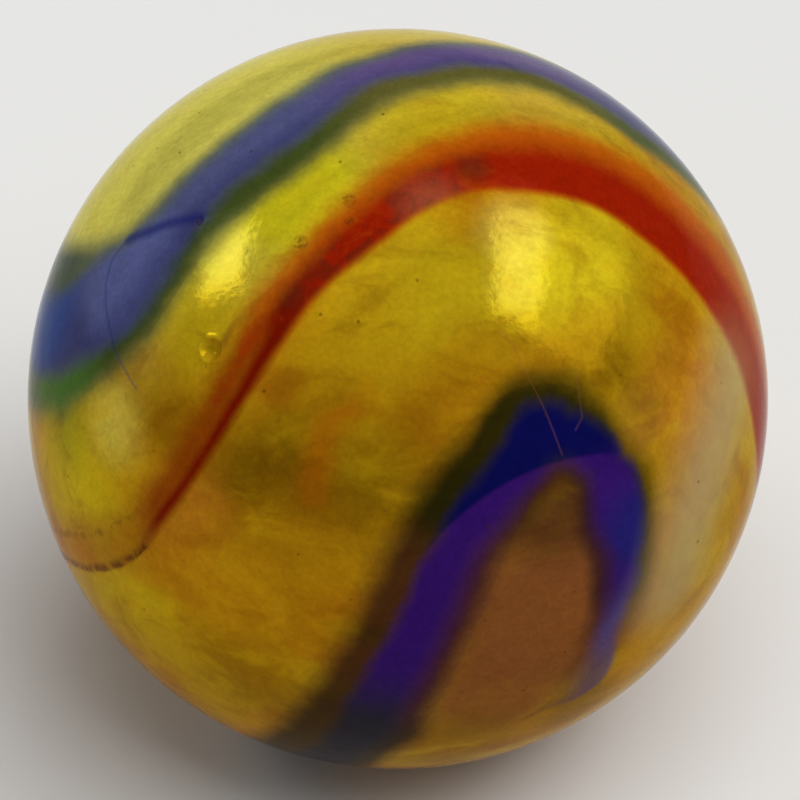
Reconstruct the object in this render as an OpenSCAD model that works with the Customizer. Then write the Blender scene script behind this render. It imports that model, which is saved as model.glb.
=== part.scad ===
// Glass marble: a ball of amber glass with three ribbons of coloured glass
// fused into its surface. The ribbons are lens-shaped in section, so they thin
// out to nothing at their edges. Lengths are in millimetres, angles in degrees.
// The origin is the centre of the ball, -Y is the front and +Z is up.

/* [Ball] */
// Diameter of the ball
ball_d = 16; // [14:0.5:25]

/* [Upper blue ribbon] */
// Width of the upper blue ribbon at its widest place
upper_blue_w = 3.6; // [2:0.1:4]
// Depth of the upper blue ribbon at its widest place
upper_blue_depth = 0.8; // [0.3:0.05:1.4]

/* [Red ribbon] */
// Width of the red ribbon at its widest place
red_w = 2.2; // [1:0.1:2.8]
// Depth of the red ribbon at its widest place
red_depth = 0.6; // [0.3:0.05:1]

/* [Lower blue ribbon] */
// Width of the lower blue ribbon at its widest place
lower_blue_w = 2.8; // [1.6:0.1:3]
// Depth of the lower blue ribbon at its widest place
lower_blue_depth = 0.9; // [0.3:0.05:1.4]

/* [Burst bubble] */
// Diameter of the burst bubble where it opens at the surface
bubble_d = 0.5; // [0.2:0.05:0.9]
// Depth of the burst bubble below the surface
bubble_depth = 0.18; // [0.05:0.01:0.3]

/* [Hidden] */

ball_r = ball_d / 2;
ball_facets = 240;
bubble_facets = 48;

// Rings made between two neighbouring points of a route
steps = 3;
// Points across the floor of a ribbon, and across the open top of its groove
floor_points = 7;
top_points = 3;
// How far a groove's section runs past the ribbon's edge: a share of the
// half width, and a length
reach = 1.25;
margin = 0.15;
// Height of the groove's open top above its own rim
headroom = 0.5;
// On the inside of a bend a section ends at this share of the bend's radius
bend_room = 0.9;

// Place of the burst bubble: longitude and latitude
bubble_at = [-38.7, 41];
// The ball's own axis leans this far forward, so its poles lie in clear amber
axis_tilt = 40;

// The routes of the ribbons. Each row is a longitude, counted from the front
// to the right, a latitude, and the half width as a share of the widest. Where
// the share is below zero the ribbon has run out, above the surface.
upper_blue_route = [
    [-148, -22, -0.6], [-138, -14, 0.3], [-124, -4, 0.6], [-108, 6, 0.8],
    [-94, 14, 0.95], [-82, 21, 1], [-72, 30, 0.95], [-66, 40, 0.8], [-66, 49, 0.65],
    [-68, 57, 0.62], [-70, 64, 0.64], [-74, 71, 0.66], [-86, 78, 0.66],
    [-125, 83, 0.68], [166, 81.5, 0.7], [146, 75, 0.74], [134, 67, 0.78],
    [126, 59, 0.86], [120, 51, 0.88], [115, 43, 0.8], [113, 33, 0.7],
    [114, 22, 0.55], [117, 11, 0.3], [120, 2, -0.6]
];
red_route = [
    [-104, -26, -0.6], [-94, -24, 0.28], [-80, -18, 0.32], [-68, -11, 0.34],
    [-57, -4, 0.4], [-47, 4, 0.38], [-41, 12, 0.34], [-37, 20, 0.34], [-34, 28, 0.36],
    [-31.5, 36, 0.4], [-29.5, 44, 0.46], [-26.5, 51, 0.5], [-21, 58, 0.58],
    [-12, 65, 0.68], [6, 71.5, 0.7], [34, 73.5, 0.78], [58, 70.5, 0.86],
    [72, 64.5, 0.92], [78, 57, 0.96], [79.5, 49, 1], [80, 40, 1], [80, 31, 1],
    [79.5, 22, 1], [79, 13, 1], [79, 4, 0.95], [81, -6, 0.85], [85, -16, 0.7],
    [91, -25, 0.5], [98, -32, 0.3], [105, -38, -0.6]
];
lower_blue_route = [
    [-78, -76, -0.6], [-58, -70, 0.4], [-40, -62, 0.7], [-28, -52, 0.9],
    [-19, -41, 1], [-12, -29, 1], [-6, -16, 0.98], [-2, -6, 0.95], [1.5, 3, 0.92],
    [4.5, 11, 0.9], [8, 18.5, 0.88], [12, 24.5, 0.84], [17, 29.5, 0.74],
    [22.5, 33, 0.62], [28.5, 33, 0.54], [33.5, 30, 0.5], [36, 25, 0.52],
    [37, 19, 0.54], [37, 12.5, 0.52], [36.2, 5.5, 0.46], [34.5, -2, 0.4],
    [32, -9, 0.36], [28.8, -16, 0.26], [25.2, -22, -0.4]
];

// How far the deepest line of a ribbon leans to the right of its route
upper_blue_lean = 0.15;
red_lean = 0.2;
lower_blue_lean = 0.45;

function on_ball(lon, lat) = [cos(lat) * sin(lon), -cos(lat) * cos(lon), sin(lat)];

function unit(v) = v / norm(v);

function last(list) = len(list) - 1;

// A route's row as a direction from the centre with the share as fourth value
function knot(row) = concat(on_ball(row[0], row[1]), [row[2]]);

// Smooth curve through b and c, with a and d as the knots on either side
function spline(a, b, c, d, t) =
    (2 * b + (c - a) * t + (2 * a - 5 * b + 4 * c - d) * t * t
        + (3 * b - a - 3 * c + d) * t * t * t) / 2;

function span(knots, i, t) =
    spline(knots[max(i - 1, 0)], knots[i], knots[i + 1], knots[min(i + 2, last(knots))], t);

function smooth(knots) = concat(
    [for (i = [0 : last(knots) - 1], j = [0 : steps - 1]) span(knots, i, j / steps)],
    [knots[last(knots)]]
);

function direction(p) = unit([p[0], p[1], p[2]]);

// The direction across the ribbon, to the right of its route, at ring i
function across(path, i) =
    let (ahead = direction(path[min(i + 1, last(path))]),
        behind = direction(path[max(i - 1, 0)]))
    unit(cross(ahead - behind, direction(path[i])));

// How sharply the route turns to the right at ring i, as one over its radius
function bend(path, i) =
    let (k = min(max(i, 1), last(path) - 1),
        here = direction(path[k]),
        before = here - direction(path[k - 1]),
        after = direction(path[k + 1]) - here)
    (unit(after) - unit(before)) * across(path, k) * 2
        / (norm(before) + norm(after)) / ball_r;

// Square of the half width, below zero where the ribbon has run out
function half_squared(w, share) = w * w / 4 * share * abs(share);

function half_reach(w, share) = reach * w / 2 * max(share, 0) + margin;

// A section's reach to one side, where that side's bend leaves room for it
function side_reach(far, bend) = bend * far > bend_room ? bend_room / bend : far;

// Height of the floor above the ball's surface at a distance s to the side
function floor_height(w, depth, lean, share, s) =
    depth / (w * w / 4) * (s * s - half_squared(w, share))
        * (1 + lean * s / half_reach(w, share));

function rim_height(w, depth, lean, share) =
    let (side = half_reach(w, share))
    max(floor_height(w, depth, lean, share, side), floor_height(w, depth, lean, share, -side));

// Point at a distance s to the side of a ring's middle, measured on the ball
function beside(middle, side, s, height) =
    let (turn = s / ball_r * 180 / PI)
    (ball_r + height) * (middle * cos(turn) + side * sin(turn));

// Section of a groove: the floor from left to right, then back over the top
function section(path, i, w, depth, lean) =
    let (share = path[i][3],
        middle = direction(path[i]),
        side = across(path, i),
        far = half_reach(w, share),
        right = side_reach(far, bend(path, i)),
        left = -side_reach(far, -bend(path, i)),
        top = rim_height(w, depth, lean, share) + headroom)
    concat(
        [for (j = [0 : floor_points - 1])
            let (s = left + (right - left) * j / (floor_points - 1))
            beside(middle, side, s, floor_height(w, depth, lean, share, s))],
        [for (j = [0 : top_points - 1])
            let (s = right + (left - right) * j / (top_points - 1))
            beside(middle, side, s, top)]
    );

// The closed solid that takes away a groove, open above the ball's surface
module groove(route, w, depth, lean) {
    path = smooth([for (row = route) knot(row)]);
    around = floor_points + top_points;
    rings = len(path);
    points = [for (i = [0 : rings - 1]) each section(path, i, w, depth, lean)];
    walls = [for (i = [0 : rings - 2], j = [0 : around - 1])
        let (a = i * around + j,
            b = i * around + (j + 1) % around)
        each [[a, b, b + around], [a, b + around, a + around]]];
    start = [for (j = [1 : around - 2]) [0, j + 1, j]];
    end_ring = (rings - 1) * around;
    finish = [for (j = [1 : around - 2]) [end_ring, end_ring + j, end_ring + j + 1]];
    polyhedron(points = points, faces = concat(walls, start, finish));
}

module upper_blue_groove() {
    groove(upper_blue_route, upper_blue_w, upper_blue_depth, upper_blue_lean);
}

module red_groove() {
    groove(red_route, red_w, red_depth, red_lean);
}

module lower_blue_groove() {
    groove(lower_blue_route, lower_blue_w, lower_blue_depth, lower_blue_lean);
}

// Round hollow left in the skin where a bubble of gas broke through
module burst_bubble() {
    r = (bubble_d * bubble_d / 4 + bubble_depth * bubble_depth) / (2 * bubble_depth);
    rim_drop = ball_r - sqrt(ball_r * ball_r - bubble_d * bubble_d / 4);
    translate(on_ball(bubble_at[0], bubble_at[1]) * (ball_r - rim_drop - bubble_depth + r))
        sphere(r = r, $fn = bubble_facets);
}

// The whole ball, before it is told apart into its glasses
module ball() {
    difference() {
        rotate([axis_tilt, 0, 0])
            sphere(d = ball_d, $fn = ball_facets);
        burst_bubble();
    }
}

module amber_body() {
    color([0.68, 0.55, 0.1])
    difference() {
        ball();
        upper_blue_groove();
        red_groove();
        lower_blue_groove();
    }
}

module upper_blue_ribbon() {
    color([0.24, 0.27, 0.5])
    intersection() {
        ball();
        upper_blue_groove();
    }
}

module red_ribbon() {
    color([0.58, 0.16, 0.03])
    intersection() {
        ball();
        red_groove();
    }
}

module lower_blue_ribbon() {
    color([0.16, 0.09, 0.38])
    intersection() {
        ball();
        lower_blue_groove();
    }
}

amber_body();
upper_blue_ribbon();
red_ribbon();
lower_blue_ribbon();
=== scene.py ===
"""Glass marble: the fine skin of the ball, its coloured glasses and a plain studio."""

import math
import bmesh
import bpy
import numpy as np
from bpy.props import FloatProperty, FloatVectorProperty, IntProperty, PointerProperty
from mathutils import Matrix, Vector
from mathutils.bvhtree import BVHTree


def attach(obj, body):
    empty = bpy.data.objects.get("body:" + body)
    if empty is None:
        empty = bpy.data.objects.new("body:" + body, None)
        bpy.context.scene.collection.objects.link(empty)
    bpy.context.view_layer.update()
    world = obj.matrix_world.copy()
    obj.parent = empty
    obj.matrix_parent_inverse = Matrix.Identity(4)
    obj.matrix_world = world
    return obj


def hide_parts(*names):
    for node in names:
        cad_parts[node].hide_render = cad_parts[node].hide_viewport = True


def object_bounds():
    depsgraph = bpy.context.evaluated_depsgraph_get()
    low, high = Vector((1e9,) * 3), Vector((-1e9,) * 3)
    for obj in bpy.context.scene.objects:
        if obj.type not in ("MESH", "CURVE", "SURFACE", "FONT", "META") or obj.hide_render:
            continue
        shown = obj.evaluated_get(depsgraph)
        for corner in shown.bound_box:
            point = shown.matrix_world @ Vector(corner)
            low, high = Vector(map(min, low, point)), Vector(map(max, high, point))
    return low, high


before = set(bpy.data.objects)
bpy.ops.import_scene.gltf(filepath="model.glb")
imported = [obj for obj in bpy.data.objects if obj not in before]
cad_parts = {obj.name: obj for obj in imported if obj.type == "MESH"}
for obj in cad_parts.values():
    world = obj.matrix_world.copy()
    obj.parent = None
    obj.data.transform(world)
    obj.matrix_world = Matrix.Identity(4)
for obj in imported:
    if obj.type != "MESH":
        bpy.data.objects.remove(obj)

bl_info = {
    "name": "Glass marble",
    "version": (1, 0, 0),
    "blender": (4, 5, 0),
    "location": "View3D > Sidebar > Marble",
    "description": "Dresses a swirled glass marble and sets it in a plain studio",
    "category": "Object",
}

CAD_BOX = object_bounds()
MM = 0.001
# The skin keeps inside the model's box on every side
BALL_RADIUS = min(abs(value) for corner in CAD_BOX for value in corner)
BALL_MM = BALL_RADIUS / MM

AMBER = "amber_body"
UPPER_BLUE = "upper_blue_ribbon"
RED = "red_ribbon"
LOWER_BLUE = "lower_blue_ribbon"
RIBBONS = (UPPER_BLUE, RED, LOWER_BLUE)

# The marble in the 800 by 800 photograph: its centre and its radius in pixels
FRAME_PX = 800
BALL_CENTRE_PX = (397.9, 398.6)
BALL_RADIUS_PX = 370.3
SENSOR_MM = 36


def on_ball(longitude, latitude):
    """Direction from the ball's centre; longitude runs from the front to the right."""
    lon, lat = math.radians(longitude), math.radians(latitude)
    return Vector((math.cos(lat) * math.sin(lon), -math.cos(lat) * math.cos(lon), math.sin(lat)))


def srgb(red, green, blue):
    """Linear colour of a display colour that is given as three numbers up to 255."""
    def linear(level):
        share = level / 255
        return share / 12.92 if share <= 0.04045 else ((share + 0.055) / 1.055) ** 2.4
    return (linear(red), linear(green), linear(blue))


# Small hollows in the skin: longitude, latitude, radius, depth and lip height in millimetres
HOLLOWS = (
    (-38.7, 41.0, 0.25, 0.18, 0.012),
    (-20.5, 69.0, 0.16, 0.03, 0.004),
    (-30.0, 60.4, 0.17, 0.03, 0.004),
    (-17.5, 65.8, 0.10, 0.02, 0.003),
    (-61.9, 54.9, 0.12, 0.025, 0.004),
)

# Places on the inner side of each ribbon's run, by which its two edges are told apart
INNER_SIDE = {
    UPPER_BLUE: ((-105, -30), (-50, 10), (-10, 45), (60, 50), (95, 10)),
    RED: ((-75, -45), (-25, 0), (5, 40), (50, 40), (60, 0), (75, -35)),
    LOWER_BLUE: ((26, 19), (20, 5), (15, -8), (8, -25), (0, -50), (20, -75)),
}

# Soft marks along the skin, each a bent line through longitudes and latitudes: a painted reflection
# haze of the bright floor down the right side, painted glints off small fractures beside the red
# ribbon's thin run, the crease between that run and the burst bubble, and a wisp of orange left of the middle
MARKS = {
    "pale_band": ((70, 21), (62, 17), (56, 13), (50, 7), (47, 0), (46, -3)),
    "glow": ((-30.4, 47.5), (-32.3, 40.5), (-33.6, 34.5)),
    "crease": ((-29.4, 54), (-33.8, 49.2), (-36.2, 45.3), (-36.8, 42.6)),
    "wisp": ((-7.1, 40.3), (-11.3, 37.1), (-13.1, 33.3), (-13.7, 25)),
}

# In millimetres: how far within a ribbon its edges are told apart, and how far beside it
EDGE_REACH = 3.0
BESIDE_REACH = 1.2
# In millimetres: how far along an edge the way out of the ribbon is averaged
EDGE_SPAN = 0.5
# The least glass over a ribbon's floor, in metres
THINNEST = 0.003 * MM


# The fine mesh of the ball's skin

def sphere_mesh(levels):
    """Unit directions and triangles of an even ball."""
    mesh = bmesh.new()
    bmesh.ops.create_icosphere(mesh, subdivisions=levels, radius=1.0)
    points = np.array([v.co[:] for v in mesh.verts])
    triangles = np.array([[v.index for v in f.verts] for f in mesh.faces])
    mesh.free()
    return points / np.linalg.norm(points, axis=1)[:, None], triangles


def edges_of(triangles):
    """Each edge of the triangles once, its lower point first."""
    pairs = np.concatenate([triangles[:, [0, 1]], triangles[:, [1, 2]], triangles[:, [2, 0]]])
    return np.unique(np.sort(pairs, axis=1), axis=0)


def split_triangles(triangles, cuts):
    """Divides the triangles along cuts, which gives the new point on each cut edge."""
    cut_points = np.unique(np.array(list(cuts)))
    touched = np.isin(triangles, cut_points).sum(axis=1) > 1
    result = []
    for a, b, c in triangles[touched].tolist():
        mids = [cuts.get((min(p, q), max(p, q))) for p, q in ((a, b), (b, c), (c, a))]
        count = sum(mid is not None for mid in mids)
        if count == 0:
            result.append((a, b, c))
            continue
        if count == 3:
            ab, bc, ca = mids
            result += [(a, ab, ca), (ab, b, bc), (ca, bc, c), (ab, bc, ca)]
            continue
        while mids[0] is None or (count == 2 and mids[2] is None):
            a, b, c = b, c, a
            mids = mids[1:] + mids[:1]
        if count == 1:
            result += [(a, mids[0], c), (mids[0], b, c)]
        else:
            result += [(a, mids[0], mids[2]), (mids[0], b, c), (mids[0], c, mids[2])]
    return np.concatenate([triangles[~touched], np.array(result)])


def refined(points, triangles, share):
    """The same skin with every edge near a hollow halved."""
    near = np.zeros(len(points), bool)
    for longitude, latitude, radius, _depth, _lip in HOLLOWS:
        away = np.linalg.norm(points - np.array(on_ball(longitude, latitude)), axis=1)
        near |= away * BALL_MM < radius * share
    edges = edges_of(triangles)
    chosen = edges[near[edges[:, 0]] & near[edges[:, 1]]]
    cuts = {tuple(edge): len(points) + i for i, edge in enumerate(chosen.tolist())}
    middles = points[chosen[:, 0]] + points[chosen[:, 1]]
    middles /= np.linalg.norm(middles, axis=1)[:, None]
    return np.concatenate([points, middles]), split_triangles(triangles, cuts)


def hollow_heights(points):
    """Height of the skin over the true ball at each direction, in metres."""
    heights = np.zeros(len(points))
    for longitude, latitude, radius, depth, lip in HOLLOWS:
        away = np.linalg.norm(points - np.array(on_ball(longitude, latitude)), axis=1)
        away *= BALL_MM / radius
        bowl = -depth * MM * np.clip(1 - away ** 2, 0, None)
        rim = lip * MM * np.exp(-((away - 1.1) / 0.22) ** 2)
        heights += np.where(away < 1, bowl, 0) + rim
    return heights


class RibbonSearch:
    """Finds the ribbon that lies over a direction from the ball's centre, and its floor."""

    def __init__(self):
        corners, faces, self.owners = [], [], []
        for k, node in enumerate(RIBBONS):
            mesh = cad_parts[node].data
            first = len(corners)
            corners += [v.co[:] for v in mesh.vertices]
            faces += [[first + i for i in p.vertices] for p in mesh.polygons]
            self.owners += [k] * len(mesh.polygons)
        self.tree = BVHTree.FromPolygons(corners, faces)

    def at(self, direction):
        """The ribbon's number, or -1 beside them all, and the radius of its floor."""
        _place, _normal, face, radius = self.tree.ray_cast(Vector((0, 0, 0)), Vector(direction))
        if face is None:
            return -1, BALL_RADIUS
        return self.owners[face], radius

    def border(self, inside, outside):
        """Direction at which the ribbon's edge crosses the arc between two directions."""
        for _ in range(14):
            middle = inside + outside
            middle = middle / np.linalg.norm(middle)
            if self.at(middle)[0] < 0:
                outside = middle
            else:
                inside = middle
        return outside


def nearest(points, places):
    """Distance in millimetres from each point of the skin to the nearest of some places."""
    result = np.empty(len(points))
    for start in range(0, len(points), 4000):
        part = slice(start, start + 4000)
        closest = (points[part] @ places.T).max(axis=1)
        result[part] = BALL_MM * np.sqrt(np.clip(2 - 2 * closest, 0, None))
    return result


def along(bends):
    """Directions close together along a bent line on the ball."""
    corners = [on_ball(*bend) for bend in bends]
    places = [a.lerp(b, step / 40) for a, b in zip(corners, corners[1:]) for step in range(41)]
    return np.array([place.normalized()[:] for place in places])


class Skin:
    """The skin of the ball, parted into its glasses along the ribbons' edges."""

    BORDER = -2

    def __init__(self, levels):
        points, triangles = sphere_mesh(levels)
        for share in (2.6, 2.1, 1.7):
            points, triangles = refined(points, triangles, share)
        search = RibbonSearch()
        found = [search.at(point) for point in points]
        owner = np.array([k for k, _radius in found])
        floor = np.array([radius for _k, radius in found])
        self.cut(points, triangles, owner, floor, search)
        self.owner = np.maximum(self.point_owner[self.triangles].max(axis=1), -1)
        self.in_ribbon = self.point_owner >= 0
        self.height = hollow_heights(self.points)
        self.surface = self.points * (BALL_RADIUS + self.height)[:, None]
        self.floor = np.minimum(self.floor, BALL_RADIUS + self.height - THINNEST)
        self.normals = self.surface_normals()
        self.fields = self.edge_fields()
        for mark, bends in MARKS.items():
            self.fields[mark] = nearest(self.points, along(bends))

    def cut(self, points, triangles, owner, floor, search):
        """Cuts the triangles that a ribbon's edge crosses, and notes the way out of it."""
        edges = edges_of(triangles)
        crossing = edges[owner[edges[:, 0]] != owner[edges[:, 1]]]
        cuts, added = {}, []
        self.crossings = {k: ([], []) for k in range(len(RIBBONS))}
        for a, b in crossing.tolist():
            inside, outside = (a, b) if owner[a] >= 0 else (b, a)
            cuts[(a, b)] = len(points) + len(added)
            place = search.border(points[inside], points[outside])
            added.append(place)
            places, ways_out = self.crossings[owner[inside]]
            places.append(place)
            ways_out.append(points[outside] - points[inside])
        self.points = np.concatenate([points, np.array(added)])
        self.triangles = split_triangles(triangles, cuts)
        self.point_owner = np.concatenate([owner, np.full(len(added), self.BORDER)])
        self.floor = np.concatenate([floor, np.full(len(added), BALL_RADIUS)])

    def ribbon_edges(self, k):
        """The places on a ribbon's outer edge and those on its inner edge."""
        places, ways_out = (np.array(rows) for rows in self.crossings[k])
        close = places @ places.T > 1 - (EDGE_SPAN / BALL_MM) ** 2 / 2
        ways_out = close @ ways_out
        references = np.array([on_ball(*row) for row in INNER_SIDE[RIBBONS[k]]])
        reference = references[(places @ references.T).argmax(axis=1)]
        is_outer = (ways_out * (places - reference)).sum(axis=1) > 0
        return places[is_outer], places[~is_outer]

    def surface_normals(self):
        """Smooth normals of the skin: radial, and from the mesh at the hollows."""
        a, b, c = (self.surface[self.triangles[:, k]] for k in range(3))
        across = np.cross(b - a, c - a)
        normals = np.zeros_like(self.surface)
        for k in range(3):
            np.add.at(normals, self.triangles[:, k], across)
        normals /= np.linalg.norm(normals, axis=1)[:, None]
        return np.where(np.abs(self.height)[:, None] > 1e-8, normals, self.points)

    def edge_fields(self):
        """How far within a ribbon's outer and inner edge each point lies, in millimetres."""
        fields = {}
        for k, node in enumerate(RIBBONS):
            outer, inner = (nearest(self.points, places) for places in self.ribbon_edges(k))
            beside = self.point_owner != k
            far = beside & (np.minimum(outer, inner) > BESIDE_REACH)
            beyond_outer = far | beside & (outer < inner)
            beyond_inner = far | beside & (inner <= outer)
            fields[f"outer_{node}"] = self.smoothed(np.where(beyond_outer, -outer, outer))
            fields[f"inner_{node}"] = self.smoothed(np.where(beyond_inner, -inner, inner))
        return fields

    def smoothed(self, values):
        """The values with each point's drawn towards its neighbours'."""
        values = np.clip(values, -EDGE_REACH, EDGE_REACH)
        edges = edges_of(self.triangles)
        for _ in range(3):
            total = np.zeros(len(values))
            count = np.zeros(len(values))
            for a, b in ((0, 1), (1, 0)):
                np.add.at(total, edges[:, a], values[edges[:, b]])
                np.add.at(count, edges[:, a], 1)
            values = (values + total / count) / 2
        return values


def glass_piece(name, skin, glass):
    """A closed piece of one glass: its part of the skin, closed by the ribbons' floors."""
    outer = skin.triangles[skin.owner == glass]
    inner = skin.triangles[skin.owner >= 0] if glass < 0 else outer[:, ::-1]
    first = len(skin.points)
    numbers = np.arange(first)
    below = np.where(skin.in_ribbon, numbers + first, numbers)
    faces = np.concatenate([outer, below[inner]])
    places = np.concatenate([skin.surface, skin.points * skin.floor[:, None]])
    used, faces = np.unique(faces, return_inverse=True)
    faces = faces.reshape(-1, 3)
    mesh = bpy.data.meshes.new(name)
    mesh.from_pydata(places[used].tolist(), [], faces.tolist())
    for field, values in skin.fields.items():
        attribute = mesh.attributes.new(field, "FLOAT", "POINT")
        attribute.data.foreach_set("value", np.tile(values, 2)[used].astype(np.float32))
    mesh.shade_smooth()
    normals = np.tile(skin.normals, (2, 1))[used][faces].reshape(-1, 3)
    normals[len(outer) * 3:] = 0
    mesh.normals_split_custom_set(normals.tolist())
    piece = bpy.data.objects.new(name, mesh)
    bpy.context.scene.collection.objects.link(piece)
    return piece


_skins = {}


def marble_skin():
    """The one skin that all the glasses are taken from."""
    levels = bpy.context.scene.marble_skin.levels
    if levels not in _skins:
        _skins[levels] = Skin(levels)
    return _skins[levels]


# Finishes as expressions

class Field:
    """A number that changes over the glass. An operator adds the Math node for it."""

    def __init__(self, finish, socket):
        self.finish = finish
        self.socket = socket

    def maths(self, operation, *values):
        node = self.finish.add("ShaderNodeMath", {"operation": operation}, dict(enumerate(values)))
        return Field(self.finish, node.outputs[0])

    def __add__(self, other):
        return self.maths("ADD", self, other)

    def __radd__(self, other):
        return self.maths("ADD", other, self)

    def __sub__(self, other):
        return self.maths("SUBTRACT", self, other)

    def __rsub__(self, other):
        return self.maths("SUBTRACT", other, self)

    def __mul__(self, other):
        return self.maths("MULTIPLY", self, other)

    def __rmul__(self, other):
        return self.maths("MULTIPLY", other, self)

    def __truediv__(self, other):
        return self.maths("DIVIDE", self, other)

    def __abs__(self):
        return self.maths("ABSOLUTE", self)

    def over(self, other):
        """The larger of two values."""
        return self.maths("MAXIMUM", self, other)

    def under(self, other):
        """The smaller of two values."""
        return self.maths("MINIMUM", self, other)

    def rise(self, low, high, start=0.0, end=1.0):
        """A smooth change from the start value at low to the end value at high."""
        node = self.finish.add(
            "ShaderNodeMapRange",
            {"interpolation_type": "SMOOTHSTEP"},
            {"Value": self, "From Min": low, "From Max": high, "To Min": start, "To Max": end},
        )
        return Field(self.finish, node.outputs["Result"])

    def fall(self, low, high):
        """1 below low, 0 above high and a smooth fall between them."""
        return self.rise(low, high, 1.0, 0.0)


class Finish:
    """One glass's material, built up node by node."""

    def __init__(self, name):
        self.material = bpy.data.materials.new(name)
        self.material.use_nodes = True
        self.tree = self.material.node_tree
        self.tree.nodes.clear()

    def add(self, kind, settings=(), inputs=()):
        """Adds a node, sets it up, and then sets or links its sockets."""
        node = self.tree.nodes.new(kind)
        for name, value in dict(settings).items():
            setattr(node, name, value)
        for name, value in dict(inputs).items():
            source = value.socket if isinstance(value, Field) else value
            if isinstance(source, bpy.types.NodeSocket):
                self.tree.links.new(source, node.inputs[name])
            else:
                node.inputs[name].default_value = source
        return node

    def output(self, shader):
        node = self.add("ShaderNodeOutputMaterial")
        self.tree.links.new(shader.outputs["BSDF"], node.inputs["Surface"])
        return self.material

    def find_place(self):
        """Place on the skin in millimetres from the ball's centre."""
        coordinates = self.add("ShaderNodeTexCoord")
        unit = self.add("ShaderNodeVectorMath", {"operation": "NORMALIZE"}, {0: coordinates.outputs["Object"]})
        place = self.add("ShaderNodeVectorMath", {"operation": "SCALE"}, {0: unit.outputs[0], "Scale": BALL_MM})
        self.place = place.outputs[0]

    def measure(self, operation, a, b):
        """Distance or dot product of two vectors."""
        node = self.add("ShaderNodeVectorMath", {"operation": operation}, {0: a, 1: b})
        return Field(self, node.outputs["Value"])

    def mix(self, factor, a, b, blend="MIX"):
        """Colour a where the factor is 0 and colour b where it is 1."""
        inputs = {0: factor, 6: opaque(a), 7: opaque(b)}
        node = self.add("ShaderNodeMix", {"data_type": "RGBA", "blend_type": blend}, inputs)
        return node.outputs[2]

    def lit(self, colour, level):
        """The colour times a level."""
        node = self.add("ShaderNodeVectorMath", {"operation": "SCALE"}, {0: colour, "Scale": level})
        return node.outputs[0]

    def noise(self, scale, detail=3.0, roughness=0.5, distortion=0.0, offset=0.0, turn=0.0, stretch=1.0):
        """Smooth noise with features of about one over scale millimetres.

        The noise is drawn out by stretch along a line that turn tips up from the right."""
        place = self.add(
            "ShaderNodeMapping",
            {},
            {
                "Vector": self.place,
                "Location": (offset, -offset, 0.5 * offset),
                "Rotation": (0.0, turn, 0.0),
                "Scale": (1.0 / stretch, 1.0, 1.0),
            },
        )
        inputs = {"Vector": place.outputs[0], "Scale": scale, "Detail": detail}
        inputs.update({"Roughness": roughness, "Distortion": distortion})
        return Field(self, self.add("ShaderNodeTexNoise", {}, inputs).outputs[0])

    def spot(self, longitude, latitude, inner, outer, share=1.0):
        """The share within the inner radius of a place on the ball, 0 past the outer, in mm."""
        centre = on_ball(longitude, latitude) * BALL_MM
        return self.measure("DISTANCE", self.place, tuple(centre)).rise(inner, outer, share, 0.0)

    def streak(self, start, end, width):
        """A thin line along the ball between two places, each a longitude and latitude."""
        a, b = on_ball(*start), on_ball(*end)
        middle = (a + b).normalized() * BALL_MM
        half = (a - b).length / 2 * BALL_MM
        across = abs(self.measure("DOT_PRODUCT", self.place, tuple(a.cross(b).normalized())))
        along = self.measure("DISTANCE", self.place, tuple(middle))
        return across.fall(0.0, width) * along.fall(half * 0.9, half * 1.1 + width / 2)

    def line(self, places, width):
        """A bent thin line through several places."""
        whole = self.streak(places[0], places[1], width)
        for start, end in zip(places[1:], places[2:]):
            whole = whole.over(self.streak(start, end, width))
        return whole

    def field(self, name):
        """A value that the mesh carries, in millimetres."""
        return Field(self, self.add("ShaderNodeAttribute", {"attribute_name": name}).outputs["Fac"])

    def edges(self, node):
        """How far within the outer and the inner edge of a ribbon the skin lies."""
        return self.field(f"outer_{node}"), self.field(f"inner_{node}")

    def mark(self, name, width):
        """1 on the line of a soft mark, 0 at a width beside it."""
        return self.field(name).fall(0.0, width)


def opaque(colour):
    """The colour with an alpha of 1 where it is a plain triple."""
    if isinstance(colour, (bpy.types.NodeSocket, Field)):
        return colour
    return (*tuple(colour)[:3], 1.0)


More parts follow.
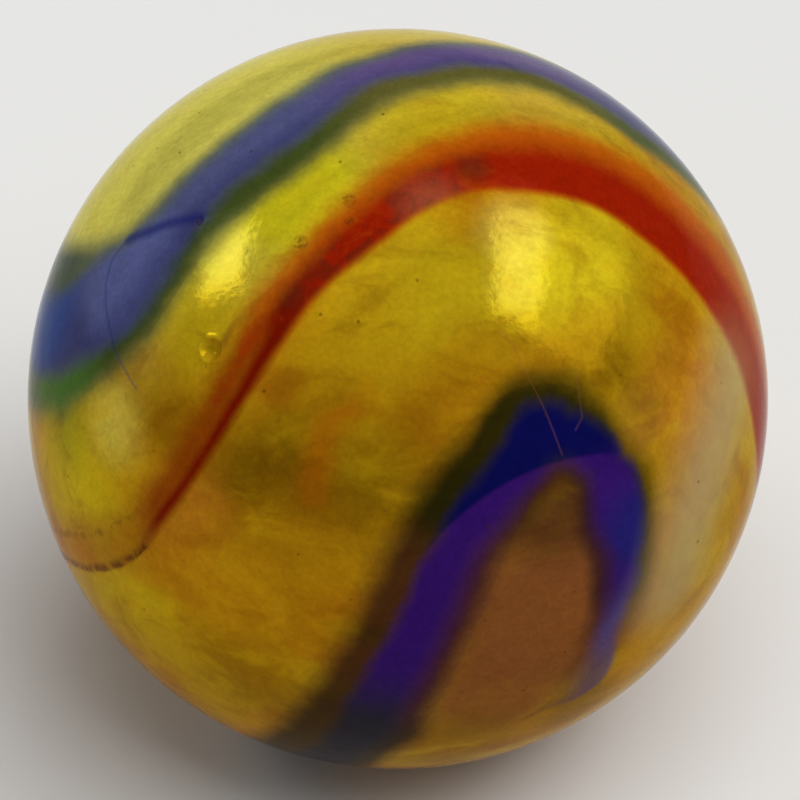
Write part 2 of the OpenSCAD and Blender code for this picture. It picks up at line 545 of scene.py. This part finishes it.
# Soft fields of tint in the amber: longitude, latitude, the radius in mm within which the
# tint is full, the radius at which it ends, the tint, and its share
CLOUDS = (
    (-100, 50, 3.0, 6.5, "straw", 0.95),
    (150, 60, 1.0, 5.0, "straw", 0.6),
    (66, 86, 0.8, 2.6, "lemon", 0.5),
    (-42, 67, 0.8, 2.2, "lemon", 1.0),
    (80, 60, 0.3, 2.0, "lemon", 0.5),
    (-57, 12, 0.4, 2.4, "lemon", 0.45),
    (-64, 16, 0.2, 1.5, "moss", 0.45),
    # Painted reflection: pale straw where a window mirrors near the left edge
    (-52, 23, 0.2, 1.3, "straw", 0.4),
    (-46, 48, 0.4, 1.9, "lemon", 0.6),
    (-41, 41, 0.3, 1.7, "gold", 0.9),
    # Painted highlight: pale straw under the left window's highlight
    (-50, 54.5, 0.3, 1.1, "straw", 0.2),
    (-43, 43, 0.2, 1.3, "lemon", 0.3),
    (-20, 21, 0.7, 2.5, "olive", 1.0),
    (4, 26, 0.5, 2.2, "olive", 0.5),
    (-12, 26, 0.4, 2.4, "olive", 0.55),
    (-37, 29, 0.3, 1.4, "brown", 0.4),
    (31, 53, 0.3, 1.9, "lemon", 0.6),
    (0, 57, 0.6, 2.4, "lemon", 0.45),
    (51, 53, 0.5, 2.4, "lemon", 0.6),
    (-9, 49, 0.4, 2.0, "gold", 0.6),
    # Painted highlight: pale straw under the right window's highlight, in this row and the next
    (37, 61, 0.4, 1.1, "straw", 0.3),
    (30, 54, 0.2, 0.9, "straw", 0.25),
    (41, 35, 0.2, 1.4, "olive", 0.8),
    (55, 27, 0.5, 1.9, "orange", 0.6),
    (44, 27, 0.2, 1.2, "rust", 0.5),
    # Partly painted reflection: brown glass inside the hairpin with the floor's rosy reflection painted in, in
    # this row and the next two
    (24, 2, 1.6, 2.9, "rust", 0.95),
    (29, 15, 0.7, 1.6, "rust", 0.95),
    (15, -13, 0.8, 2.1, "rust", 0.95),
    (24, 21, 0.5, 1.7, "umber", 0.75),
    (-34, 17, 0.4, 1.7, "orange", 0.6),
    (-16, 16, 0.5, 2.2, "ochre", 0.6),
    (-26, 5, 0.5, 2.2, "ochre", 0.8),
    (-44, -8, 0.5, 2.2, "lemon", 0.3),
    (-24, -11, 0.5, 2.1, "olive", 0.6),
    (44, -16, 0.4, 1.7, "ochre", 0.8),
    (31, -23, 0.4, 1.5, "olive", 0.7),
    (9, -27, 0.6, 2.2, "olive", 0.6),
)

# The fold in the upper blue ribbon, from its lower edge round to the left and back
FOLD = (
    (-62.2, 55.6), (-68.7, 51.2), (-71.1, 48.3), (-75.2, 43.6), (-74.4, 39.9), (-71.2, 37.2),
    (-66.9, 35.2), (-62.5, 33.5), (-59.3, 32.2), (-53.7, 30.8), (-50.0, 29.8),
)

def amber_glass(finish, tints):
    """Cloudy amber: soft fields of tint, broken up by veils except in the calmest parts."""
    veil = finish.noise(0.4, detail=4.0, distortion=0.8, turn=-0.8, stretch=1.8)
    colour = finish.mix(veil.rise(0.36, 0.64), tints.amber, tints.honey)
    for longitude, latitude, inner, outer, tint, share in CLOUDS:
        mask = finish.spot(longitude, latitude, inner, outer, share)
        colour = finish.mix(mask, colour, getattr(tints, tint))
    drift = finish.noise(0.8, detail=4.0, roughness=0.62, distortion=1.0, offset=7.0, turn=-0.7, stretch=2.2)
    stir = 0.4 - finish.spot(21, -1, 3.0, 4.1, 0.35) - finish.spot(-110, 60, 3.5, 6.0, 0.3)
    colour = finish.mix(drift.rise(0.48, 0.7) * stir, colour, tints.gold)
    colour = finish.mix(drift.fall(0.3, 0.5) * stir, colour, tints.brown)
    colour = finish.mix(finish.mark("wisp", 0.6) * drift.rise(0.3, 0.6) * 0.5, colour, tints.flame)
    return finish.mix(finish.mark("crease", 0.16) * 0.45, colour, tints.umber)


def upper_blue_over(finish, colour, tints):
    """The hazy blue ribbon over the amber: teal outer edge, dark green inner edge, and a painted violet
    reflection haze at its right end.
    """
    outer, inner = finish.edges(UPPER_BLUE)
    fray = (finish.noise(1.1, detail=3.0, roughness=0.5, offset=3.0) - 0.5) * 0.45
    outer, inner = outer + fray * 0.6, inner + fray
    left = finish.spot(-92, 20, 1.4, 3.2)
    right = finish.spot(120, 76, 1.8, 4.2)
    inner = inner - right * 0.4
    band = outer.rise(-0.35, 0.4) * inner.rise(-0.3, 0.5)
    colour = finish.mix(band * 0.94, colour, finish.mix(left, tints.teal, tints.pine))
    green = outer.rise(0.2, 0.9) * inner.rise(-0.5, 0.4)
    green = (green * inner.fall(0.5, 1.1)).over(finish.spot(-57, 60.5, 0.1, 0.6, 0.7))
    leaf = finish.mix(finish.spot(-68, 18, 0.8, 2.2), tints.forest, tints.fern)
    colour = finish.mix(green, colour, finish.mix(right, leaf, tints.sage))
    core = (inner + finish.spot(-62, 44, 1.0, 2.6, 0.25)).rise(0.42, 1.08)
    core = core * (outer - left * 0.75).rise(0.05, 0.75)
    blue = finish.mix(outer.rise(0.9, 1.8) * 0.8, tints.slate, tints.indigo)
    blue = finish.mix(left, blue, tints.steel)
    blue = finish.mix(finish.spot(-65, 41, 0.9, 1.9, 0.9), blue, tints.mist)
    # Painted reflection: violet haze at the ribbon's right end, where the skin mirrors its surroundings at a
    # glancing angle
    blue = finish.mix(right * 0.8, blue, tints.reflected_mauve)
    blue = finish.mix(inner.fall(0.7, 1.5) * (1 - left) * 0.6, blue, tints.indigo)
    colour = finish.mix(core, colour, blue)
    fold = finish.line(FOLD[:4], 0.24) * core.rise(0.0, 0.3)
    return finish.mix(fold.over(finish.line(FOLD[3:], 0.06) * 0.5) * 0.7, colour, tints.cobalt)


def red_over(finish, colour, tints):
    """The red ribbon over the amber: wide orange outer fade, crisp inner edge, and painted glints off small
    fractures beside its thin run.
    """
    outer, inner = finish.edges(RED)
    fray = (finish.noise(1.6, detail=4.0, roughness=0.6, offset=5.0) - 0.5) * 0.36
    top = finish.spot(-6, 68, 1.6, 3.6)
    outer, inner = outer + fray, inner - top * 0.16
    place = outer / (outer + inner).over(0.1)
    low = finish.spot(-38, 20, 2.9, 4.3)
    end = finish.spot(-56, -4, 2.5, 3.5)
    fade = outer.rise(-0.45, 0.3) * inner.rise(-0.06, 0.22)
    colour = finish.mix(fade * (0.95 - end * 0.6), colour, finish.mix(low, tints.flame, tints.sienna))
    wide = place.rise(0.08, 0.52)
    thin = place.rise(0.45, 0.72)
    core = wide + (thin - wide) * low
    core = core * inner.rise(0.0, 0.26)
    dots = finish.noise(4.0, detail=2.0, offset=6.0).rise(0.35, 0.6)
    threads = inner.rise(-0.1, 0.04) * inner.fall(0.06, 0.24) * (0.45 + dots * 0.4)
    threads = threads.over(outer.rise(-0.1, 0.03) * outer.fall(0.04, 0.2) * dots * 0.4)
    threads = threads * outer.under(inner).rise(-0.4, -0.15)
    core = core + (threads - core) * end
    red = finish.mix(finish.spot(-36, 26, 3.2, 4.8), tints.red, tints.maroon)
    clouding = finish.noise(1.1, detail=4.0, roughness=0.65, distortion=1.5, offset=2.0)
    red = finish.mix(clouding.rise(0.5, 0.7) * (0.25 + top * 0.6), red, tints.ember)
    dark = (clouding.fall(0.36, 0.52) * top * 0.85).over(finish.spot(40, 73, 0.1, 0.6))
    red = finish.mix(dark.over(finish.spot(-27, 53, 0.1, 0.6)) * 0.5, red, tints.umber)
    # Painted reflection: a faint pale bloom on the red ribbon where a window mirrors in it
    red = finish.mix(finish.spot(14, 69, 0.1, 1.1, 0.12), red, tints.reflected_haze)
    red = finish.mix(end * 0.7, red, tints.umber)
    colour = finish.mix(core, colour, red)
    # Painted glints: streaks of orange-red light off small fractures beside the red ribbon's thin run
    return finish.mix(finish.mark("glow", 0.26) * clouding.rise(0.3, 0.6) * 0.8, colour, tints.ember)


def lower_blue_over(finish, colour, tints):
    """The deep blue ribbon over the amber: green fringe at the bend, and legs turned violet by a painted
    reflection of the floor.
    """
    outer, inner = finish.edges(LOWER_BLUE)
    fray = (finish.noise(1.3, detail=3.0, roughness=0.5, offset=9.0) - 0.5) * 0.3
    outer, inner = outer + fray, inner + fray * 0.5
    right = finish.spot(46, 8, 2.0, 3.4)
    bend = finish.spot(28, 34, 0.9, 2.0)
    side = finish.spot(37, 30, 0.6, 1.6, 0.5)
    low = finish.spot(-20, -42, 2.4, 4.6)
    foot = finish.spot(-12, -34, 2.4, 4.8)
    tail = finish.spot(34, -11, 0.6, 2.4)
    tip = finish.spot(28, -16, 0.4, 1.7)
    left_leg = finish.spot(2, 3, 2.2, 3.6)
    near = right.over(bend)
    # Painted reflection: the legs mask follows the line below which the skin mirrors the floor, crisp over most
    # of it
    legs = finish.spot(25.8, -0.6, 3.79, 3.91)
    legs = legs + (finish.spot(25.8, -0.6, 3.3, 4.4) - legs) * right
    legs = legs.over(finish.spot(-4, -14, 1.8, 3.2))
    inner = inner + near * 0.35 - low * 0.3 - finish.spot(31.5, 5, 0.6, 1.6, 0.3) - left_leg * 0.32
    fringe = (outer + bend * 0.4 - side * 0.5 + right * 0.15 + tip * 0.4).rise(-0.35, 0.55)
    fringe = fringe * inner.rise(-0.55, 0.15)
    # Where it follows the legs mask, the fringe's umber is painted reflection of the floor over the dark green
    # fringe
    brown = (legs * (1 - right)).over(low).over(finish.spot(-1, 12, 0.7, 1.9)) * (1 - foot * 0.5)
    share = 0.95 - tip.over(tail) * 0.6
    colour = finish.mix(fringe * share, colour, finish.mix(brown, tints.bottle, tints.umber))
    haze = fringe * right.over(left_leg) * inner.fall(0.3, 0.9)
    colour = finish.mix(haze * 0.6, colour, tints.plum)
    apex = finish.spot(27, 37.2, 0.2, 1.7, 0.6).over(side)
    reach = outer + apex.over(bend * 0.15).over(right.over(tail) * 0.6) + tip * 0.9 - low * 0.2
    core = reach.rise(0.72, 1.18) * inner.rise(-0.1, 0.65)
    # Painted reflection of the floor: violet over the legs mask
    blue = finish.mix(legs, tints.ultramarine, tints.violet)
    blue = finish.mix(finish.spot(39, 12, 0.2, 1.5, 0.8), blue, tints.cobalt)
    blue = finish.mix(foot, blue, tints.ink)
    # Partly painted reflection: the tail's violet glass is painted pale lavender where the reflection haze down
    # the right side crosses it
    blue = finish.mix(tail, blue, tints.lavender)
    blue = finish.mix(tip * 0.8, blue, tints.heather)
    return finish.mix(core * (1 - tail * 0.25), colour, blue)


def cover(finish):
    """1 over the ribbons and at their edges, 0 a little way beside them."""
    upper_blue, red, lower_blue = (outer.under(inner) for outer, inner in map(finish.edges, RIBBONS))
    return upper_blue.over(red).over(lower_blue).rise(-0.7, 0.0)


def finish_glass(finish, colour, tints, lustre, mirror):
    """The gloss of the skin over its colours, with grain, specks, nicks, painted glints along fine scratches
    and a painted reflection haze down the right side.
    """
    fine = finish.noise(9.0, detail=3.0, roughness=0.7, offset=1.0)
    grain = finish.noise(2.6, detail=4.0, roughness=0.65, offset=4.0)
    level = 1 + (fine - 0.5) * 0.5 + (grain - 0.5) * 0.4
    colour = finish.lit(colour, level)
    outer, inner = finish.edges(RED)
    # Painted reflection: a pale haze of the bright floor down the right side, weaker over the red ribbon
    band = finish.mark("pale_band", 1.9) * outer.under(inner).rise(-0.1, 0.4, 1.0, 0.4)
    colour = finish.mix(band * (0.5 + grain * 0.25), colour, tints.reflected_haze)
    # Painted glints: bright lines of light along hair-fine scratches over the bend
    glinting_scratches = finish.line(((22.5, 48.0), (24.2, 45.4), (25.3, 40.7), (26.8, 35.1), (27.9, 28.0)), 0.035)
    glinting_scratches = glinting_scratches.over(finish.line(((35.0, 39.0), (34.3, 36.4), (33.2, 32.1), (31.3, 30.8)), 0.035))
    colour = finish.mix(glinting_scratches * 0.18, colour, tints.glint_copper)
    specks = finish.add("ShaderNodeTexVoronoi", {}, {"Vector": finish.place, "Scale": 1.1, "Randomness": 1.0})
    dark = Field(finish, specks.outputs["Distance"]).fall(0.02, 0.06)
    # The nicks are drawn darker over their hollows, in the specks' colour
    for longitude, latitude, radius, _depth, _lip in HOLLOWS[1:]:
        dark = dark.over(finish.spot(longitude, latitude, radius * 0.6, radius * 1.3) * fine.rise(0.4, 0.6))
    colour = finish.mix(dark * 0.55, colour, tints.dark_speck)
    ripple = finish.noise(1.6, detail=2.0, roughness=0.6, offset=8.0)
    relief = {"Strength": 1.0, "Distance": 0.00001, "Height": ripple + fine * 0.3}
    bump = finish.add("ShaderNodeBump", {}, relief)
    shader = finish.add(
        "ShaderNodeBsdfPrincipled",
        {},
        {
            "Base Color": colour,
            "Metallic": lustre,
            "Roughness": 0.05 + grain.rise(0.4, 0.7) * 0.1,
            "IOR": 1.5,
            "Specular IOR Level": mirror,
            "Specular Tint": opaque(tints.lustre),
            "Normal": bump.outputs["Normal"],
        },
    )
    return finish.output(shader)


def amber_finish(tints):
    finish = Finish("amber_glass")
    finish.find_place()
    colour = amber_glass(finish, tints)
    for ribbon_over in (upper_blue_over, red_over, lower_blue_over):
        colour = ribbon_over(finish, colour, tints)
    lustre = 0.26 - (cover(finish) * 0.2).over(finish.spot(30, -45, 2.5, 5.5, 0.16))
    return finish_glass(finish, colour, tints, lustre, 0.012)


def ribbon_finish(name, ribbon_over, tints):
    finish = Finish(name)
    finish.find_place()
    colour = ribbon_over(finish, amber_glass(finish, tints), tints)
    return finish_glass(finish, colour, tints, 0.06, 0.012)


# Settings

def tint(name, description, colour):
    return FloatVectorProperty(
        name=name, description=description, default=srgb(*colour), subtype="COLOR", min=0.0, max=1.0
    )


class MarbleSkinSettings(bpy.types.PropertyGroup):
    levels: IntProperty(
        name="Fineness", description="Times that the skin's triangles are divided", default=7, min=4, max=8
    )


class MarbleTints(bpy.types.PropertyGroup):
    amber: tint("Amber", "Main colour of the ball", (190, 146, 15))
    honey: tint("Honey", "Warmer drift in the amber", (180, 118, 12))
    lemon: tint("Lemon", "Clear yellow drift", (216, 202, 28))
    gold: tint("Gold", "Warm yellow drift", (208, 164, 18))
    # Also painted under the windows' highlights, and as a mirrored window near the left edge
    straw: tint("Straw", "Milky yellow of the upper left", (228, 218, 96))
    ochre: tint("Ochre", "Orange brown drift", (190, 134, 14))
    olive: tint("Olive", "Dark brown shade", (128, 88, 6))
    moss: tint("Moss", "Green shade at the left edge", (100, 120, 30))
    orange: tint("Orange", "Warm shade at the right", (196, 118, 28))
    # Brown glass with a painted rosy reflection of the floor inside the hairpin
    rust: tint("Rust", "Rosy brown inside the hairpin", (134, 78, 38))
    # Under the lower blue ribbon's legs mask, also the painted reflection of the floor on its dark fringe
    umber: tint("Umber", "Dark brown edge of the violet legs", (68, 36, 20))
    brown: tint("Brown", "Dark drift in the amber", (140, 82, 8))
    teal: tint("Teal", "Outer edge of the upper blue ribbon", (92, 104, 86))
    pine: tint("Pine", "Outer edge of the upper blue ribbon at the left", (14, 58, 62))
    forest: tint("Forest", "Inner edge of the upper blue ribbon", (68, 80, 32))
    fern: tint("Fern", "Inner edge of the upper blue ribbon at the left", (74, 112, 42))
    sage: tint("Sage", "Inner edge of the upper blue ribbon at the top", (98, 94, 42))
    slate: tint("Slate", "Pale side of the upper blue ribbon", (84, 88, 132))
    mist: tint("Mist", "Palest part of the upper blue ribbon", (96, 104, 158))
    indigo: tint("Indigo", "Dark side of the upper blue ribbon", (56, 58, 108))
    cobalt: tint("Cobalt", "Fold in the upper blue ribbon", (28, 34, 112))
    steel: tint("Steel", "Upper blue ribbon at the left edge", (12, 62, 146))
    # Painted reflection haze at the right end of the upper blue ribbon
    reflected_mauve: tint("Mauve", "Violet haze in the upper blue ribbon", (102, 80, 132))
    flame: tint("Flame", "Outer edge of the red ribbon", (184, 84, 8))
    red: tint("Red", "Red ribbon", (152, 28, 4))
    # Also the colour of the painted glints beside the red ribbon's thin run
    ember: tint("Ember", "Bright mottling in the red ribbon", (164, 52, 6))
    sienna: tint("Sienna", "Edge of the red ribbon where it is thin", (146, 64, 5))
    maroon: tint("Maroon", "Red ribbon where it is thin", (122, 20, 2))
    bottle: tint("Bottle green", "Edge of the lower blue ribbon", (17, 27, 7))
    ultramarine: tint("Ultramarine", "Bend of the lower blue ribbon", (12, 14, 80))
    # Painted reflection of the floor on the lower blue ribbon's legs
    violet: tint("Violet", "Legs of the lower blue ribbon", (54, 20, 106))
    plum: tint("Plum", "Inner edge of the right leg of the lower blue ribbon", (76, 30, 48))
    ink: tint("Ink", "Lower end of the lower blue ribbon", (38, 34, 48))
    # Violet glass of the tail under a painted reflection haze
    lavender: tint("Lavender", "Pale tail of the lower blue ribbon", (78, 70, 132))
    heather: tint("Heather", "Tip of the lower blue ribbon", (92, 62, 74))
    # Painted reflection haze: the band down the right side and a faint bloom on the red ribbon
    reflected_haze: tint("Milk", "Pale band down the right side", (188, 172, 124))
    # Painted glints along hair-fine scratches
    glint_copper: tint("Copper", "Hair-fine lines over the bend", (150, 90, 60))
    dark_speck: tint("Soot", "Fine dark specks", (60, 34, 12))
    lustre: FloatVectorProperty(
        name="Lustre", description="Tint of what the skin mirrors", default=(1.0, 0.9, 0.35),
        subtype="COLOR", min=0.0, max=1.0,
    )


class MarbleStudio(bpy.types.PropertyGroup):
    elevation: FloatProperty(
        name="Camera elevation", description="How far the camera looks down",
        default=math.radians(40), subtype="ANGLE",
    )
    distance: FloatProperty(
        name="Camera distance", description="From the camera to the ball's centre",
        default=0.1, min=0.05, unit="LENGTH",
    )
    floor_size: FloatProperty(
        name="Floor size", description="Side of the square floor", default=4.0, min=0.5, unit="LENGTH"
    )
    floor_colour: FloatVectorProperty(
        name="Floor colour", description="Plain colour of the floor", default=(0.88, 0.88, 0.87),
        subtype="COLOR", min=0.0, max=1.0,
    )
    room_level: FloatProperty(
        name="Room level", description="Strength of the even light from all round", default=0.14, min=0.0
    )


# Rectangles of light, each with its name, the azimuth and elevation at which the ball sees it,
# the roll of its width in degrees, its distance, width and height in metres, its power in
# watts, and whether the skin mirrors it
LIGHTS = (
    ("left_window", -103.3, 41.6, 84.9, 0.49, 0.122, 0.218, 0.24, True),
    ("right_window", 96.5, 56.4, -89.0, 0.462, 0.115, 0.397, 0.34, True),
    ("right_curtain", 88.8, 37.7, -85.0, 0.468, 0.214, 0.323, 0.23, True),
    ("ceiling", 60.0, 72.0, 0.0, 0.7, 0.7, 0.7, 3.6, False),
)


def area_light(name, azimuth, elevation, roll, distance, width, height, power, mirrored):
    """A rectangle of light that faces the ball."""
    away = on_ball(azimuth, elevation)
    level = Vector((0, 0, 1)).cross(away).normalized()
    upright = away.cross(level)
    turn = math.radians(roll)
    x_axis = level * math.cos(turn) + upright * math.sin(turn)
    y_axis = away.cross(x_axis)
    data = bpy.data.lights.new(name, "AREA")
    data.shape = "RECTANGLE"
    data.size, data.size_y, data.energy = width, height, power
    lamp = bpy.data.objects.new(name, data)
    turned = Matrix((x_axis, y_axis, away)).transposed().to_4x4()
    lamp.matrix_world = Matrix.Translation(away * distance) @ turned
    lamp.visible_glossy = mirrored
    bpy.context.scene.collection.objects.link(lamp)


# Operators

class MARBLE_OT_amber_body(bpy.types.Operator):
    """Make the amber glass of the ball, with the grooves that hold its ribbons"""

    bl_idname = "marble.amber_body"
    bl_label = "Amber body"

    def execute(self, context):
        piece = glass_piece("amber_ball", marble_skin(), -1)
        piece.data.materials.append(amber_finish(context.scene.marble_tints))
        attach(piece, "root")
        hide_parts(AMBER)
        return {"FINISHED"}


class MARBLE_OT_ribbons(bpy.types.Operator):
    """Make the blue and red ribbons of glass that lie in the ball's grooves"""

    bl_idname = "marble.ribbons"
    bl_label = "Ribbons"

    def execute(self, context):
        tints = context.scene.marble_tints
        makers = {
            UPPER_BLUE: ("upper_blue_glass", "blue_glass", upper_blue_over),
            RED: ("red_band", "red_glass", red_over),
            LOWER_BLUE: ("lower_blue_glass", "violet_blue_glass", lower_blue_over),
        }
        for k, node in enumerate(RIBBONS):
            name, slot, ribbon_over = makers[node]
            piece = glass_piece(name, marble_skin(), k)
            piece.data.materials.append(ribbon_finish(slot, ribbon_over, tints))
            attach(piece, "root")
            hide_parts(node)
        return {"FINISHED"}


class MARBLE_OT_studio(bpy.types.Operator):
    """Set up the plain floor, the soft lights and the camera"""

    bl_idname = "marble.studio"
    bl_label = "Studio"

    def execute(self, context):
        studio = context.scene.marble_studio
        self.make_floor(studio)
        self.make_lights(context, studio)
        self.make_camera(context, studio)
        context.scene.view_settings.view_transform = "Standard"
        return {"FINISHED"}

    def make_floor(self, studio):
        half = studio.floor_size / 2
        corners = [(-half, -half), (half, -half), (half, half), (-half, half)]
        mesh = bpy.data.meshes.new("floor")
        mesh.from_pydata([(x, y, CAD_BOX[0][2]) for x, y in corners], [], [(0, 1, 2, 3)])
        floor = bpy.data.objects.new("floor", mesh)
        bpy.context.scene.collection.objects.link(floor)
        finish = Finish("floor_paper")
        paper = {"Color": opaque(studio.floor_colour), "Roughness": 1.0}
        mesh.materials.append(finish.output(finish.add("ShaderNodeBsdfDiffuse", {}, paper)))

    def make_lights(self, context, studio):
        for row in LIGHTS:
            area_light(*row)
        world = bpy.data.worlds.new("room")
        world.use_nodes = True
        background = world.node_tree.nodes["Background"]
        background.inputs["Color"].default_value = (1.0, 1.0, 1.0, 1.0)
        background.inputs["Strength"].default_value = studio.room_level
        context.scene.world = world

    def make_camera(self, context, studio):
        focal_px = BALL_RADIUS_PX / math.tan(math.asin(BALL_RADIUS / studio.distance))
        data = bpy.data.cameras.new("camera")
        data.sensor_width = SENSOR_MM
        data.lens = focal_px * SENSOR_MM / FRAME_PX
        data.shift_x = (FRAME_PX / 2 - BALL_CENTRE_PX[0]) / FRAME_PX
        data.shift_y = (BALL_CENTRE_PX[1] - FRAME_PX / 2) / FRAME_PX
        data.clip_start = studio.distance / 10
        camera = bpy.data.objects.new("camera", data)
        towards = Vector((0, -math.cos(studio.elevation), math.sin(studio.elevation)))
        camera.location = towards * studio.distance
        camera.rotation_euler = (math.pi / 2 - studio.elevation, 0, 0)
        context.scene.collection.objects.link(camera)
        context.scene.camera = camera


class MARBLE_PT_panel(bpy.types.Panel):
    """The marble's pieces, tints and studio"""

    bl_idname = "MARBLE_PT_panel"
    bl_label = "Glass marble"
    bl_space_type = "VIEW_3D"
    bl_region_type = "UI"
    bl_category = "Marble"

    def draw(self, context):
        scene = context.scene
        for settings in (scene.marble_skin, scene.marble_tints, scene.marble_studio):
            box = self.layout.box()
            for name in settings.__annotations__:
                box.prop(settings, name)
        for operator in OPERATORS:
            self.layout.operator(operator.bl_idname)


OPERATORS = (MARBLE_OT_amber_body, MARBLE_OT_ribbons, MARBLE_OT_studio)
CLASSES = (MarbleSkinSettings, MarbleTints, MarbleStudio, *OPERATORS, MARBLE_PT_panel)


def register():
    for item in CLASSES:
        bpy.utils.register_class(item)
    bpy.types.Scene.marble_skin = PointerProperty(type=MarbleSkinSettings)
    bpy.types.Scene.marble_tints = PointerProperty(type=MarbleTints)
    bpy.types.Scene.marble_studio = PointerProperty(type=MarbleStudio)


def unregister():
    del bpy.types.Scene.marble_studio
    del bpy.types.Scene.marble_tints
    del bpy.types.Scene.marble_skin
    for item in reversed(CLASSES):
        bpy.utils.unregister_class(item)


def main():
    register()
    bpy.ops.marble.amber_body()
    bpy.ops.marble.ribbons()
    bpy.ops.marble.studio()


if __name__ == "__main__":
    main()
